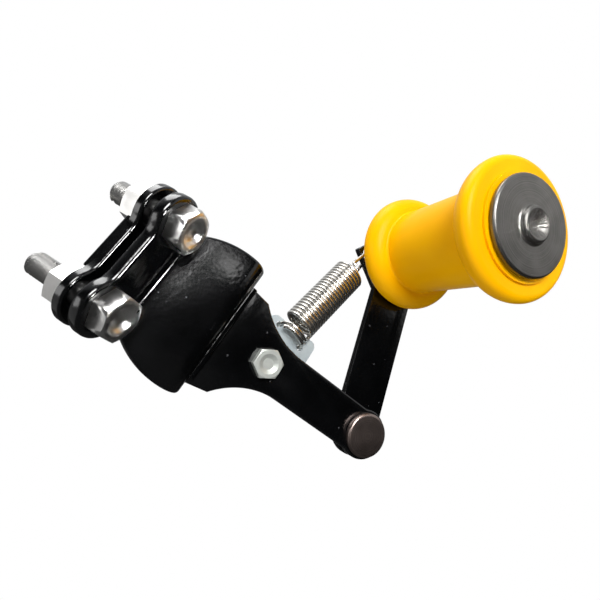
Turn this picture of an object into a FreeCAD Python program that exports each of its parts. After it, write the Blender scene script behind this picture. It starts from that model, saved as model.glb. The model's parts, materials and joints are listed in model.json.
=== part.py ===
"""Sprung chain tensioner: a clamp bracket, a swinging link and a spool roller.

Row frame, millimetres: the origin lies on the fixed jaw's clamping face, midway between
the clamp bolts. +X follows the bolts towards their heads, +Z runs from the lower bolt to
the upper one, and +Y points to the back of the bracket.

The arm frame stands on the bracket's lip: its X runs along the arm towards the pivot, its Y
through the plates from front to back, and it is turned about Z by the jaw's tilt.
"""
import FreeCAD, Part
import math
import os
import re

import Sketcher

Vector = FreeCAD.Vector

# Driving dimensions in millimetres and degrees, one sheet row each
SIZES = {
    # Clamp bracket, a folded sheet: jaw wall, saddle and lip
    "bracket_sheet": 3.4,
    "bolt_spacing": 25.0,
    "ear_radius": 7.2,
    "waist_height": 4.7,
    "waist_fillet": 5.3,
    "bolt_to_fold": 7.2,
    "jaw_tilt": 33.0,
    "fold_radius": 2.0,
    "saddle_length": 21.0,
    "saddle_width": 40.8,
    "saddle_end_radius": 25.0,
    "saddle_apex": 5.5,
    "saddle_rise": 6.0,
    "lip_radius": 1.0,
    "edge_round": 0.4,
    # Loose jaw and its bolts
    "strap_sheet": 3.8,
    "strap_ear": 2.2,
    "strap_round": 0.7,
    "seat_margin": 0.7,
    "clamp_gap": 2.1,
    "clamp_bolt_radius": 3.0,
    "upper_bolt_length": 16.6,
    "lower_bolt_length": 20.0,
    "clamp_hex": 10.0,
    "clamp_head": 4.6,
    "clamp_nut": 5.0,
    "clamp_washer_radius": 6.3,
    "clamp_washer": 0.8,
    "bolt_clearance": 0.3,
    "thread_clearance": 0.05,
    # Arm plate and its weld
    "arm_sheet": 3.0,
    "arm_width": 14.0,
    "neck_root_top": 15.0,
    "neck_root_low": 16.6,
    "neck_corner_top": 14.2,
    "neck_corner_low": 15.5,
    "neck_corner_reach": 6.9,
    "neck_end_reach": 25.0,
    "boss_margin": 0.8,
    "anchor_reach": 16.3,
    "pivot_reach": 56.8,
    "weld_leg": 1.9,
    "weld_round": 2.3,
    # Spring anchor plate and its bolt
    "anchor_sheet": 2.0,
    "anchor_left": 10.4,
    "anchor_right": 27.8,
    "anchor_top": 14.0,
    "anchor_bottom": 6.5,
    "anchor_corner": 2.0,
    "anchor_bolt_radius": 2.5,
    "anchor_bolt_length": 12.0,
    "anchor_hex": 8.0,
    "anchor_head": 2.2,
    "anchor_nut": 4.0,
    "anchor_washer": 1.2,
    "anchor_washer_radius": 4.6,
    # Pivot pin and what keeps the link on it
    "pin_radius": 4.0,
    "pin_head_radius": 6.9,
    "pin_head": 2.0,
    "pin_tail": 1.5,
    "pivot_spacer": 1.9,
    "pivot_washer": 1.0,
    "pivot_washer_radius": 7.2,
    "clip_sheet": 0.8,
    "clip_groove_depth": 0.8,
    "clip_radius": 6.0,
    "clip_mouth": 2.4,
    "running_gap": 0.1,
    "running_clearance": 0.06,
    # Link and its spring tab
    "link_sheet": 2.5,
    "link_width": 16.0,
    "link_length": 62.8,
    "link_lean": 16.7,
    "tab_drop": 5.0,
    "tab_reach": 13.5,
    "tab_shoulder": 4.5,
    "tab_point": 5.0,
    "tab_hole_radius": 2.6,
    # Tension spring
    "wire": 1.2,
    "coil_radius": 4.85,
    "coil_start": 5.0,
    "coil_turns": 21.0,
    "coil_gap": 0.04,
    "coil_groove": 0.3,
    "spring_seat_x": 18.6,
    "spring_seat_z": 11.0,
    "hook_radius": 2.9,
    "hook_twist": 54.5,
    "hook_bearing": 0.5,
    "seat_hole_radius": 1.0,
    # Spool roller
    "roller_length": 44.1,
    "flange_radius": 19.2,
    "flange_width": 7.0,
    "flange_face_round": 2.2,
    "barrel_radius": 13.7,
    "hub_boss_radius": 14.4,
    "hub_boss": 0.6,
    "roller_bore": 8.0,
    "roller_standoff": 2.1,
    # Ball bearings in the roller
    "bearing_bore": 5.0,
    "bearing_outer": 11.0,
    "bearing_width": 6.0,
    "bearing_recess": 1.0,
    "ring_wall": 1.7,
    "ball_radius": 1.35,
    "ball_play": 0.3,
    "ball_count": 7.0,
    # Axle, turned with a disc head and a centred stub
    "disc_radius": 13.3,
    "disc_sheet": 1.5,
    "disc_gap": 0.4,
    "disc_chamfer": 0.5,
    "stub_radius": 4.7,
    "stub_height": 1.6,
    "stub_cove": 0.9,
    "centre_radius": 3.9,
    "centre_depth": 2.6,
    "collar_radius": 6.5,
    "axle_thread_radius": 4.0,
    "axle_hex": 13.0,
    "axle_nut": 6.5,
    "axle_washer": 1.6,
    "axle_washer_radius": 8.0,
    "axle_tail": 1.5,
    "thread_chamfer": 0.6,
    "trim_margin": 8.0,
}

# Shape of a hexagon fastener, as shares of its width across the flats or its head
TRIM_START, TRIM_REACH, TRIM_ANGLE = 0.49, 0.62, 30
DISH_RIM, DISH_FLOOR, DISH_HEIGHT = 0.36, 0.2, 0.72

# Faces nearer than this, in millimetres, lie in one plane
SAME_PLANE = 0.01

NODES = []
doc = FreeCAD.newDocument("ChainTensioner")


def make_sheet():
    """Write the driving dimensions into an aliased spreadsheet."""
    sheet = doc.addObject("Spreadsheet::Sheet", "Sizes")
    for row, (name, value) in enumerate(SIZES.items(), start=1):
        sheet.set("A%d" % row, name)
        sheet.set("B%d" % row, str(value))
        sheet.setAlias("B%d" % row, name)
    doc.recompute()
    return sheet


sizes = make_sheet()


def bound(text):
    """Turn a formula on size names into an expression on the sheet."""
    return re.sub(r"[a-z_]+", lambda hit: ("Sizes." if hit.group() in SIZES else "") + hit.group(), text)


def value(text):
    """Work out a formula on size names."""
    return float(sizes.evalExpression(bound(text)))


# Formulas that several pieces share
FOLD_TANGENT = "fold_radius * tan(45 - jaw_tilt / 2)"
LIP_OUTER = "(lip_radius + bracket_sheet)"
ARM_X = "(bracket_sheet + saddle_length * cos(jaw_tilt) - saddle_rise * sin(jaw_tilt))"
ARM_Y = "(bolt_to_fold + saddle_length * sin(jaw_tilt) + saddle_rise * cos(jaw_tilt))"
LINK_FRONT = "(arm_sheet + pivot_spacer + running_gap)"
ROLLER_X = "(pivot_reach - link_length * sin(link_lean))"
ROLLER_Z = "(link_length * cos(link_lean))"
ROLLER_REAR = "(%s - roller_standoff)" % LINK_FRONT
SADDLE_END = "(saddle_length - %s - saddle_apex)" % FOLD_TANGENT
FOLD_HALF = "(saddle_width / 2 - saddle_end_radius + sqrt(saddle_end_radius ^ 2 - %s ^ 2))" % SADDLE_END
LIP_HALF = "(saddle_width / 2 - saddle_end_radius + sqrt(saddle_end_radius ^ 2 - saddle_apex ^ 2))"
BOLT_HOLE = "clamp_bolt_radius + bolt_clearance"
TAB_ALONG = "(link_length - tab_drop)"
TAB_X = "(pivot_reach - tab_reach * cos(link_lean) - %s * sin(link_lean))" % TAB_ALONG
TAB_Z = "(%s * cos(link_lean) - tab_reach * sin(link_lean))" % TAB_ALONG
SPRING_LEAN = "atan((%s - spring_seat_x) / (%s - spring_seat_z))" % (TAB_X, TAB_Z)


def arm_point(x, y):
    """Row X and Y formulas of a point given in the arm frame."""
    row_x = "%s + (%s) * cos(jaw_tilt) - (%s) * sin(jaw_tilt)" % (ARM_X, x, y)
    row_y = "%s + (%s) * sin(jaw_tilt) + (%s) * cos(jaw_tilt)" % (ARM_Y, x, y)
    return row_x, row_y


def link_point(along, across):
    """Arm-frame X and Z formulas, from the pivot, of a point given along and across the link."""
    local_x = "(%s) * cos(link_lean) - (%s) * sin(link_lean)" % (across, along)
    local_z = "(%s) * sin(link_lean) + (%s) * cos(link_lean)" % (across, along)
    return local_x, local_z


def place_row(piece, x="0", y="0", z="0"):
    """Seat a piece in the row frame."""
    for name, formula in (("x", x), ("y", y), ("z", z)):
        piece.setExpression("Placement.Base." + name, bound(formula))


def place_arm(piece, x="0", y="0", z="0"):
    """Seat a piece in the arm frame, turned with it."""
    row_x, row_y = arm_point(x, y)
    piece.Placement = FreeCAD.Placement(Vector(), FreeCAD.Rotation(Vector(0, 0, 1), value("jaw_tilt")))
    piece.setExpression("Placement.Rotation.Angle", bound("jaw_tilt"))
    place_row(piece, row_x, row_y, z)


def node(piece, label):
    """Name a finished sub-part and list it for export."""
    piece.Label = label
    NODES.append(piece)
    return piece


def new_body(name):
    """An empty body."""
    return doc.addObject("PartDesign::Body", name)


def new_sketch(body, role):
    """A sketch on one of the body's own origin planes."""
    planes = {feature.Role: feature for feature in body.Origin.OriginFeatures}
    sketch = body.newObject("Sketcher::SketchObject", body.Name + "_sketch")
    sketch.AttachmentSupport = [(planes[role], "")]
    sketch.MapMode = "FlatFace"
    return sketch


def tie(sketch, constraint, formula):
    """Add a constraint and bind its value."""
    index = sketch.addConstraint(constraint)
    sketch.setExpression("Constraints[%d]" % index, bound(formula))


def tie_point(sketch, geometry, spot, x, y):
    """Fix a point of the sketch by two formulas."""
    tie(sketch, Sketcher.Constraint("DistanceX", -1, 1, geometry, spot, value(x)), x)
    tie(sketch, Sketcher.Constraint("DistanceY", -1, 1, geometry, spot, value(y)), y)


def arc_between(start, end, radius, turn, large):
    """Circle arc from start to end. turn is 1 with the centre on the left, -1 on the right."""
    chord = end - start
    half = chord.Length / 2
    side = turn * (-1 if large else 1)
    rise = math.sqrt(max(radius * radius - half * half, 0.0))
    left = Vector(-chord.y, chord.x, 0).normalize()
    centre = (start + end) * 0.5 + left * (rise * side)
    first, last = (start, end) if turn > 0 else (end, start)
    angles = [math.atan2(spot.y - centre.y, spot.x - centre.x) for spot in (first, last)]
    return Part.ArcOfCircle(Part.Circle(centre, Vector(0, 0, 1), radius), angles[0], angles[1])


def outline(sketch, corners):
    """Closed outline through corners (x, y) or (x, y, (radius, turn, large)) for an arc to the next."""
    spots = [Vector(value(corner[0]), value(corner[1]), 0) for corner in corners]
    first = sketch.GeometryCount
    ends = []
    for index, corner in enumerate(corners):
        start, end = spots[index], spots[(index + 1) % len(corners)]
        if len(corner) == 2:
            sketch.addGeometry(Part.LineSegment(start, end))
            ends.append((1, 2))
        else:
            radius, turn, large = corner[2]
            sketch.addGeometry(arc_between(start, end, value(radius), turn, large))
            ends.append((1, 2) if turn > 0 else (2, 1))
    for index, corner in enumerate(corners):
        following = (index + 1) % len(corners)
        sketch.addConstraint(Sketcher.Constraint(
            "Coincident", first + index, ends[index][1], first + following, ends[following][0]))
        tie_point(sketch, first + index, ends[index][0], corner[0], corner[1])
        if len(corner) == 3:
            tie(sketch, Sketcher.Constraint("Radius", first + index, value(corner[2][0])), corner[2][0])


def circle(sketch, x, y, radius):
    """Full circle, such as a hole in an outline."""
    index = sketch.addGeometry(Part.Circle(Vector(value(x), value(y), 0), Vector(0, 0, 1), value(radius)))
    tie_point(sketch, index, 3, x, y)
    tie(sketch, Sketcher.Constraint("Radius", index, value(radius)), radius)


def pad(body, sketch, length, back=False, both=False):
    """Extrude a sketch, forwards, backwards or to both sides."""
    feature = body.newObject("PartDesign::Pad", body.Name + "_pad")
    feature.Profile = sketch
    feature.setExpression("Length", bound(length))
    feature.Reversed = back
    if both:
        feature.SideType = "Symmetric"
    return feature


def turn_feature(body, kind, axis, corners):
    """Revolve or groove an outline given as (along the axis towards the head, radius)."""
    sketch = new_sketch(body, "XY_Plane")
    swapped = []
    for corner in corners:
        along, radius = corner[0], corner[1]
        spot = (along, radius) if axis == "X" else (radius, "-(%s)" % along)
        swapped.append(spot + tuple(corner[2:]))
    outline(sketch, swapped)
    feature = body.newObject("PartDesign::" + kind, body.Name + "_" + kind.lower())
    feature.Profile = sketch
    feature.ReferenceAxis = (sketch, ["H_Axis" if axis == "X" else "V_Axis"])
    feature.Angle = 360.0
    return feature


def turned(name, axis, corners):
    """A piece turned about its axis."""
    body = new_body(name)
    turn_feature(body, "Revolution", axis, corners)
    return body


def ring(name, axis, inner, outer, low, high):
    """A plain washer, spacer or sleeve."""
    return turned(name, axis, [(low, inner), (low, outer), (high, outer), (high, inner)])


def hexagon(body, axis, flats):
    """Six-sided sketch across the axis, with two flats towards the sheet's ends."""
    sketch = new_sketch(body, "YZ_Plane" if axis == "X" else "XZ_Plane")
    first = 0 if axis == "X" else 30
    corners = []
    for step in range(6):
        angle = 60 * step + first
        corners.append(("%s / sqrt(3) * cos(%d)" % (flats, angle), "%s / sqrt(3) * sin(%d)" % (flats, angle)))
    outline(sketch, corners)
    return sketch


def trim_corners(body, axis, flats, face, towards):
    """Turn the sharp corners off a hexagon at one end."""
    inner = "%s * %s" % (flats, TRIM_START)
    outer = "%s * %s" % (flats, TRIM_REACH)
    drop = "(%s) - (%s) * (%s - %s) * tan(%s)" % (face, towards, outer, inner, TRIM_ANGLE)
    turn_feature(body, "Groove", axis, [(face, inner), (face, outer), (drop, outer)])


def hex_bolt(name, axis, flats, head, radius, length):
    """Hexagon bolt with a dished head. Its seat is at the origin."""
    floor = "%s * %s" % (head, DISH_HEIGHT)
    body = new_body(name)
    pad(body, hexagon(body, axis, flats), head)
    turn_feature(body, "Revolution", axis, [
        ("0", "0"), ("0", radius), ("thread_chamfer - %s" % length, radius),
        ("-(%s)" % length, "%s - thread_chamfer" % radius), ("-(%s)" % length, "0")])
    trim_corners(body, axis, flats, head, "1")
    turn_feature(body, "Groove", axis, [
        (head, "0"), (head, "%s * %s" % (flats, DISH_RIM)),
        (floor, "%s * %s" % (flats, DISH_FLOOR)), (floor, "0")])
    return body


def hex_nut(name, axis, flats, height, bore):
    """Hexagon nut. Its seat is at the origin and it grows away from the head."""
    body = new_body(name)
    sketch = hexagon(body, axis, flats)
    circle(sketch, "0", "0", bore)
    pad(body, sketch, height, back=True)
    trim_corners(body, axis, flats, "-(%s)" % height, "-1")
    return body


def round_edges(body, faces, radius):
    """Round every edge of the faces that a test picks."""
    doc.recompute()
    tip = body.Tip
    names = ["Face%d" % (index + 1) for index, face in enumerate(tip.Shape.Faces) if faces(face)]
    feature = body.newObject("PartDesign::Fillet", body.Name + "_round")
    feature.Base = (tip, names)
    feature.setExpression("Radius", bound(radius))
    return feature


def flat_along_y(face):
    """True for a flat face square to the body's Y."""
    return isinstance(face.Surface, Part.Plane) and abs(face.normalAt(0, 0).y) > 0.999


def flat_along_x(face):
    """True for a flat face square to the body's X."""
    return isinstance(face.Surface, Part.Plane) and abs(face.normalAt(0, 0).x) > 0.999


# Clamp bracket: one folded sheet, trimmed to its ears and to the saddle's round ends
def folded_strip():
    """The sheet's section, folded at the jaw and at the lip, drawn full width."""
    body = new_body("folded_strip")
    saddle_x = "bracket_sheet + (%s) * cos(jaw_tilt)" % FOLD_TANGENT
    saddle_y = "bolt_to_fold + (%s) * sin(jaw_tilt)" % FOLD_TANGENT
    under_x = saddle_x + " - bracket_sheet * sin(jaw_tilt)"
    under_y = saddle_y + " + bracket_sheet * cos(jaw_tilt)"
    lip_top = "%s - saddle_rise" % LIP_OUTER
    wall_end = "bolt_to_fold - " + FOLD_TANGENT
    outline_corners = [
        ("bracket_sheet", "-ear_radius"),
        ("bracket_sheet", wall_end, ("fold_radius", -1, False)),
        (saddle_x, saddle_y),
        arm_point("-" + LIP_OUTER, "-saddle_rise") + ((LIP_OUTER, 1, False),),
        arm_point("0", lip_top),
        arm_point("0", "arm_sheet"),
        arm_point("-bracket_sheet", "arm_sheet"),
        arm_point("-bracket_sheet", lip_top) + (("lip_radius", -1, False),),
        arm_point("-" + LIP_OUTER, "bracket_sheet - saddle_rise"),
        (under_x, under_y, ("fold_radius + bracket_sheet", 1, False)),
        ("0", wall_end),
        ("0", "-ear_radius"),
    ]
    sketch = new_sketch(body, "XY_Plane")
    outline(sketch, outline_corners)
    pad(body, sketch, "saddle_width", both=True)
    return body


def dog_bone(sketch, foot):
    """Ears about both bolt holes with a waist between, open to a straight foot or the same both sides."""
    drop = "sqrt((ear_radius + waist_fillet) ^ 2 - (waist_height + waist_fillet) ^ 2)"
    share = "ear_radius / (ear_radius + waist_fillet)"
    flat = "(bolt_spacing / 2 - %s)" % drop
    meet_y = "(%s * (waist_height + waist_fillet))" % share
    meet_z = "(bolt_spacing / 2 - %s * %s)" % (share, drop)
    fillet = ("waist_fillet", -1, False)
    ear = ("ear_radius", 1, True)
    corners = [("-waist_height", flat), ("-waist_height", "-" + flat, fillet)]
    if foot:
        side_y = "sqrt(ear_radius ^ 2 - (%s - bolt_spacing / 2) ^ 2)" % FOLD_HALF
        corners += [
            ("-" + meet_y, "-" + meet_z, ear), (side_y, "-" + FOLD_HALF), (foot, "-" + FOLD_HALF),
            (foot, FOLD_HALF), (side_y, FOLD_HALF, ear)]
    else:
        corners += [
            ("-" + meet_y, "-" + meet_z, ear), (meet_y, "-" + meet_z, fillet),
            ("waist_height", "-" + flat), ("waist_height", flat, fillet), (meet_y, meet_z, ear)]
    corners.append(("-" + meet_y, meet_z, fillet))
    outline(sketch, corners)
    for side in ("bolt_spacing / 2", "-bolt_spacing / 2"):
        circle(sketch, "0", side, BOLT_HOLE)


def jaw_trim():
    """Block in the jaw's outline, with the bolt holes."""
    body = new_body("jaw_trim")
    sketch = new_sketch(body, "YZ_Plane")
    dog_bone(sketch, "bolt_to_fold + bracket_sheet + trim_margin")
    pad(body, sketch, "bracket_sheet + " + FOLD_TANGENT)
    return body


def saddle_trim():
    """Block in the saddle's outline, with its two round ends."""
    body = new_body("saddle_trim")
    start = "(%s - saddle_length)" % FOLD_TANGENT
    end = ("saddle_end_radius", 1, False)
    sketch = new_sketch(body, "XZ_Plane")
    outline(sketch, [
        (start, "-" + FOLD_HALF, end), ("0", "-" + LIP_HALF), ("trim_margin", "-" + LIP_HALF),
        ("trim_margin", LIP_HALF), ("0", LIP_HALF, end), (start, FOLD_HALF)])
    pad(body, sketch, "2 * (saddle_rise + arm_sheet + trim_margin)", both=True)
    place_arm(body)
    return body


def clamp_bracket():
    """Folded strip kept where the two outlines allow it."""
    outlines = doc.addObject("Part::Fuse", "bracket_outlines")
    outlines.Base = jaw_trim()
    outlines.Tool = saddle_trim()
    bracket = doc.addObject("Part::Common", "clamp_bracket")
    bracket.Base = folded_strip()
    bracket.Tool = outlines
    return node(bracket, "clamp_bracket")


def strap_outer_flat(face):
    """True for the strap's clamping face and its rib's top, not for the ears' washer seats."""
    return flat_along_x(face) and abs(face.CenterOfMass.x + value("strap_ear")) > SAME_PLANE


def clamp_strap():
    """Loose jaw: a bar with round ears, thinner at the ears where the washers sit."""
    seat = "(clamp_washer_radius + seat_margin)"
    rib_end = "(bolt_spacing / 2 - sqrt(%s ^ 2 - waist_height ^ 2))" % seat
    hollow = (seat, -1, False)
    body = new_body("clamp_strap")
    sketch = new_sketch(body, "YZ_Plane")
    dog_bone(sketch, None)
    pad(body, sketch, "strap_ear", back=True)
    rib = new_sketch(body, "YZ_Plane")
    outline(rib, [
        ("-waist_height", rib_end), ("-waist_height", "-" + rib_end, hollow),
        ("waist_height", "-" + rib_end), ("waist_height", rib_end, hollow)])
    pad(body, rib, "strap_sheet", back=True)
    round_edges(body, strap_outer_flat, "strap_round")
    place_row(body, "-clamp_gap")
    return node(body, "clamp_strap")


def clamp_fasteners():
    """Two bolts through both jaws, each with a washer and a nut on the loose jaw."""
    washer_seat = "-(clamp_gap + strap_ear)"
    nut_seat = "-(clamp_gap + strap_ear + clamp_washer)"
    for side, height in (("upper", "bolt_spacing / 2"), ("lower", "-bolt_spacing / 2")):
        bolt = hex_bolt("clamp_bolt_" + side, "X", "clamp_hex", "clamp_head",
                        "clamp_bolt_radius", "(%s_bolt_length + bracket_sheet)" % side)
        place_row(bolt, "bracket_sheet", "0", height)
        washer = ring("clamp_washer_" + side, "X", BOLT_HOLE, "clamp_washer_radius", "-clamp_washer", "0")
        place_row(washer, washer_seat, "0", height)
        nut = hex_nut("clamp_nut_" + side, "X", "clamp_hex", "clamp_nut",
                      "clamp_bolt_radius + thread_clearance")
        place_row(nut, nut_seat, "0", height)
        for piece in (bolt, washer, nut):
            node(piece, piece.Name)


# Arm plate and what is fixed to it
def neck_arc(corner):
    """Arc from a neck's corner that runs into the arm's straight edge."""
    drop = "(%s - arm_width / 2)" % corner
    return "(((neck_end_reach - neck_corner_reach) ^ 2 + %s ^ 2) / (2 * %s))" % (drop, drop), -1, False


def arm_plate():
    """Necked plate from the bracket's lip to the pivot boss."""
    neck_top, neck_low = neck_arc("neck_corner_top"), neck_arc("neck_corner_low")
    boss = "(arm_width / 2 + boss_margin)"
    boss_x = "pivot_reach - sqrt(%s ^ 2 - (arm_width / 2) ^ 2)" % boss
    body = new_body("arm_plate")
    sketch = new_sketch(body, "XZ_Plane")
    outline(sketch, [
        ("0", "-neck_root_low"),
        ("neck_corner_reach", "-neck_corner_low", neck_low),
        ("neck_end_reach", "-arm_width / 2"),
        (boss_x, "-arm_width / 2", (boss, 1, True)),
        (boss_x, "arm_width / 2"),
        ("neck_end_reach", "arm_width / 2", neck_top),
        ("neck_corner_reach", "neck_corner_top"),
        ("0", "neck_root_top")])
    circle(sketch, "anchor_reach", "0", "anchor_bolt_radius + bolt_clearance")
    circle(sketch, "pivot_reach", "0", "pin_radius")
    pad(body, sketch, "arm_sheet", back=True)
    place_arm(body)
    return node(body, "arm_plate")


def weld_bead():
    """Fillet weld in the corner between the lip and the arm plate."""
    body = new_body("weld_bead")
    sketch = new_sketch(body, "XY_Plane")
    outline(sketch, [("0", "0"), ("0", "-weld_leg", ("weld_round", 1, False)), ("weld_leg", "0")])
    pad(body, sketch, "2 * neck_root_top", both=True)
    place_arm(body)
    return node(body, "weld_bead")


def anchor_plate():
    """Small plate behind the arm, with two holes that the spring's end turn passes through."""
    body = new_body("anchor_plate")
    sketch = new_sketch(body, "XZ_Plane")
    corner = ("anchor_corner", 1, False)
    outline(sketch, [
        ("anchor_left + anchor_corner", "-anchor_bottom"),
        ("anchor_right - anchor_corner", "-anchor_bottom", corner),
        ("anchor_right", "anchor_corner - anchor_bottom"),
        ("anchor_right", "anchor_top - anchor_corner", corner),
        ("anchor_right - anchor_corner", "anchor_top"),
        ("anchor_left + anchor_corner", "anchor_top", corner),
        ("anchor_left", "anchor_top - anchor_corner"),
        ("anchor_left", "anchor_corner - anchor_bottom", corner)])
    circle(sketch, "anchor_reach", "0", "anchor_bolt_radius + bolt_clearance")
    for side in ("-", "+"):
        circle(sketch, "spring_seat_x %s coil_radius * cos(%s)" % (side, SPRING_LEAN),
               "spring_seat_z - (%s coil_radius * sin(%s))" % (side, SPRING_LEAN), "seat_hole_radius")
    pad(body, sketch, "anchor_sheet", back=True)
    place_arm(body, "0", "arm_sheet")
    return node(body, "anchor_plate")


def anchor_fasteners():
    """Bolt from the front, with a washer and a nut behind the anchor plate."""
    back = "(arm_sheet + anchor_sheet)"
    bolt = hex_bolt("anchor_bolt", "Y", "anchor_hex", "anchor_head",
                    "anchor_bolt_radius", "anchor_bolt_length")
    place_arm(bolt, "anchor_reach")
    washer = ring("anchor_washer", "Y", "anchor_bolt_radius + bolt_clearance",
                  "anchor_washer_radius", "-anchor_washer", "0")
    place_arm(washer, "anchor_reach", back)
    nut = hex_nut("anchor_nut", "Y", "anchor_hex", "anchor_nut", "anchor_bolt_radius + thread_clearance")
    place_arm(nut, "anchor_reach", back + " + anchor_washer")
    for piece in (bolt, washer, nut):
        node(piece, piece.Name)


def pivot_pieces():
    """Pin through arm and link, a spacer between them, a washer and a spring clip behind."""
    washer_seat = "(%s + link_sheet + running_gap)" % LINK_FRONT
    clip_seat = "(%s + pivot_washer)" % washer_seat
    tail = "(%s + clip_sheet + pin_tail)" % clip_seat
    groove_radius = "pin_radius - clip_groove_depth"
    pin = turned("pivot_pin", "Y", [
        ("pin_head", "0"), ("pin_head", "pin_head_radius - disc_chamfer"),
        ("pin_head - disc_chamfer", "pin_head_radius"), ("0", "pin_head_radius"), ("0", "pin_radius"),
        ("-" + clip_seat, "pin_radius"), ("-" + clip_seat, groove_radius),
        ("-(%s + clip_sheet)" % clip_seat, groove_radius), ("-(%s + clip_sheet)" % clip_seat, "pin_radius"),
        ("thread_chamfer - " + tail, "pin_radius"), ("-" + tail, "pin_radius - thread_chamfer"),
        ("-" + tail, "0")])
    spacer = ring("pivot_spacer_ring", "Y", "pin_radius", "pivot_washer_radius",
                  "-(arm_sheet + pivot_spacer)", "-arm_sheet")
    washer = ring("pivot_washer_ring", "Y", "pin_radius", "pivot_washer_radius",
                  "-" + clip_seat, "-" + washer_seat)
    clip = new_body("pivot_clip")
    sketch = new_sketch(clip, "XZ_Plane")
    mouth = "clip_mouth"
    outer_y = "sqrt(clip_radius ^ 2 - %s ^ 2)" % mouth
    inner_y = "sqrt((%s) ^ 2 - %s ^ 2)" % (groove_radius, mouth)
    outline(sketch, [
        ("-" + mouth, "-" + outer_y, ("clip_radius", -1, True)), (mouth, "-" + outer_y),
        (mouth, "-" + inner_y, (groove_radius, 1, True)), ("-" + mouth, "-" + inner_y)])
    pad(clip, sketch, "clip_sheet", back=True)
    place_arm(pin, "pivot_reach")
    place_arm(spacer, "pivot_reach")
    place_arm(washer, "pivot_reach")
    place_arm(clip, "pivot_reach", clip_seat)
    node(pin, "pivot_pin")
    node(spacer, "pivot_spacer")
    node(washer, "pivot_washer")
    node(clip, "pivot_clip")


# Link, spring and roller
def link_arm():
    """Flat link with round ends and a pointed side tab for the spring's hook."""
    half = "(link_width / 2)"
    tip = "(link_length + %s)" % half
    quarter = (half, 1, False)
    tab_tip = "(tab_reach + tab_point)"
    body = new_body("link_arm")
    sketch = new_sketch(body, "XZ_Plane")
    outline(sketch, [
        link_point("0", half),
        link_point("link_length", half) + (quarter,),
        link_point(tip, "0") + (quarter,),
        link_point("link_length", "-" + half),
        link_point(TAB_ALONG + " + tab_shoulder", "-" + half),
        link_point(TAB_ALONG + " + tab_shoulder", "tab_shoulder - " + tab_tip),
        link_point(TAB_ALONG, "-" + tab_tip),
        link_point("%s - (%s - %s)" % (TAB_ALONG, tab_tip, half), "-" + half),
        link_point("0", "-" + half) + (quarter,),
        link_point("-" + half, "0") + (quarter,)])
    circle(sketch, "0", "0", "pin_radius + running_clearance")
    circle(sketch, *link_point("link_length", "0"), "axle_thread_radius + bolt_clearance")
    circle(sketch, *link_point(TAB_ALONG, "-tab_reach"), "tab_hole_radius")
    pad(body, sketch, "link_sheet", back=True)
    round_edges(body, flat_along_y, "edge_round")
    place_arm(body, "pivot_reach", LINK_FRONT)
    return node(body, "link_arm")


def spring_line():
    """The spring's two seats in the arm frame."""
    low = Vector(value("spring_seat_x"), value("arm_sheet + anchor_sheet / 2"), value("spring_seat_z"))
    high = Vector(value(TAB_X), value(LINK_FRONT + " + link_sheet / 2"), value(TAB_Z))
    return low, high


def coil_body(start, pitch):
    """Close-wound coils as one turned sleeve, with a groove between neighbouring turns."""
    crest = value("coil_radius + wire / 2")
    valley = crest - value("coil_groove")
    bore = value("coil_radius - wire / 2 + coil_groove")
    spots = []
    for turn in range(int(value("coil_turns"))):
        low = start + pitch * turn
        spots += [(valley, low), (crest, low + pitch / 4), (crest, low + pitch * 3 / 4)]
    top = start + pitch * int(value("coil_turns"))
    spots += [(valley, top), (bore, top), (bore, start), (valley, start)]
    section = Part.Face(Part.makePolygon([Vector(radius, 0, height) for radius, height in spots]))
    return section.revolve(Vector(), Vector(0, 0, 1), 360)


def hook_wire(foot, centre):
    """Open hook above the coils: a leg up, a round bight and a leg down, in the plane of X and Z."""
    spread, bend, radius = value("coil_radius"), value("hook_radius"), value("wire / 2")
    rise = centre - foot
    tilt = math.acos(bend / math.hypot(spread, rise)) - math.atan2(rise, spread)
    touch = Vector(bend * math.cos(tilt), 0, centre + bend * math.sin(tilt))
    left, right = Vector(-spread, 0, foot), Vector(spread, 0, foot)
    mirrored = Vector(-touch.x, 0, touch.z)
    crown = Vector(0, 0, centre + bend)
    path = Part.Wire([Part.makeLine(left, mirrored), Part.Arc(mirrored, crown, touch).toShape(),
                      Part.makeLine(touch, right)])
    section = Part.Wire([Part.makeCircle(radius, left, mirrored - left)])
    return path.makePipeShell([section], True, True)


def tension_spring():
    """Close-wound spring: an end turn threaded through the anchor plate, coils, and a twisted hook."""
    low, high = spring_line()
    up = Vector(0, 0, 1)
    wire_radius = value("wire / 2")
    coil_radius = value("coil_radius")
    pitch = value("wire + coil_gap")
    start = value("coil_start")
    top = start + pitch * int(value("coil_turns"))
    bight = (high - low).Length - value("hook_bearing") - value("hook_radius")
    post_radius = wire_radius - value("coil_gap")
    hook = hook_wire(top - wire_radius, bight)
    hook.rotate(Vector(), up, value("hook_twist"))
    end_turn = Part.makeTorus(coil_radius, wire_radius)
    post = Part.makeCylinder(post_radius, start + wire_radius, Vector(0, coil_radius, 0))
    turn_to_arm = FreeCAD.Rotation(up, value("jaw_tilt"))
    feature = doc.addObject("Part::Feature", "tension_spring")
    feature.Shape = coil_body(start, pitch).multiFuse([end_turn, post, hook])
    base = Vector(value(ARM_X), value(ARM_Y), 0) + turn_to_arm.multVec(low)
    feature.Placement = FreeCAD.Placement(base, turn_to_arm.multiply(FreeCAD.Rotation(up, high - low)))
    return node(feature, "tension_spring")


def place_roller(piece, y="0"):
    """Seat a piece on the roller's axis, measured back from the roller's rear face."""
    place_arm(piece, ROLLER_X, "%s + (%s)" % (ROLLER_REAR, y), ROLLER_Z)


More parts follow.
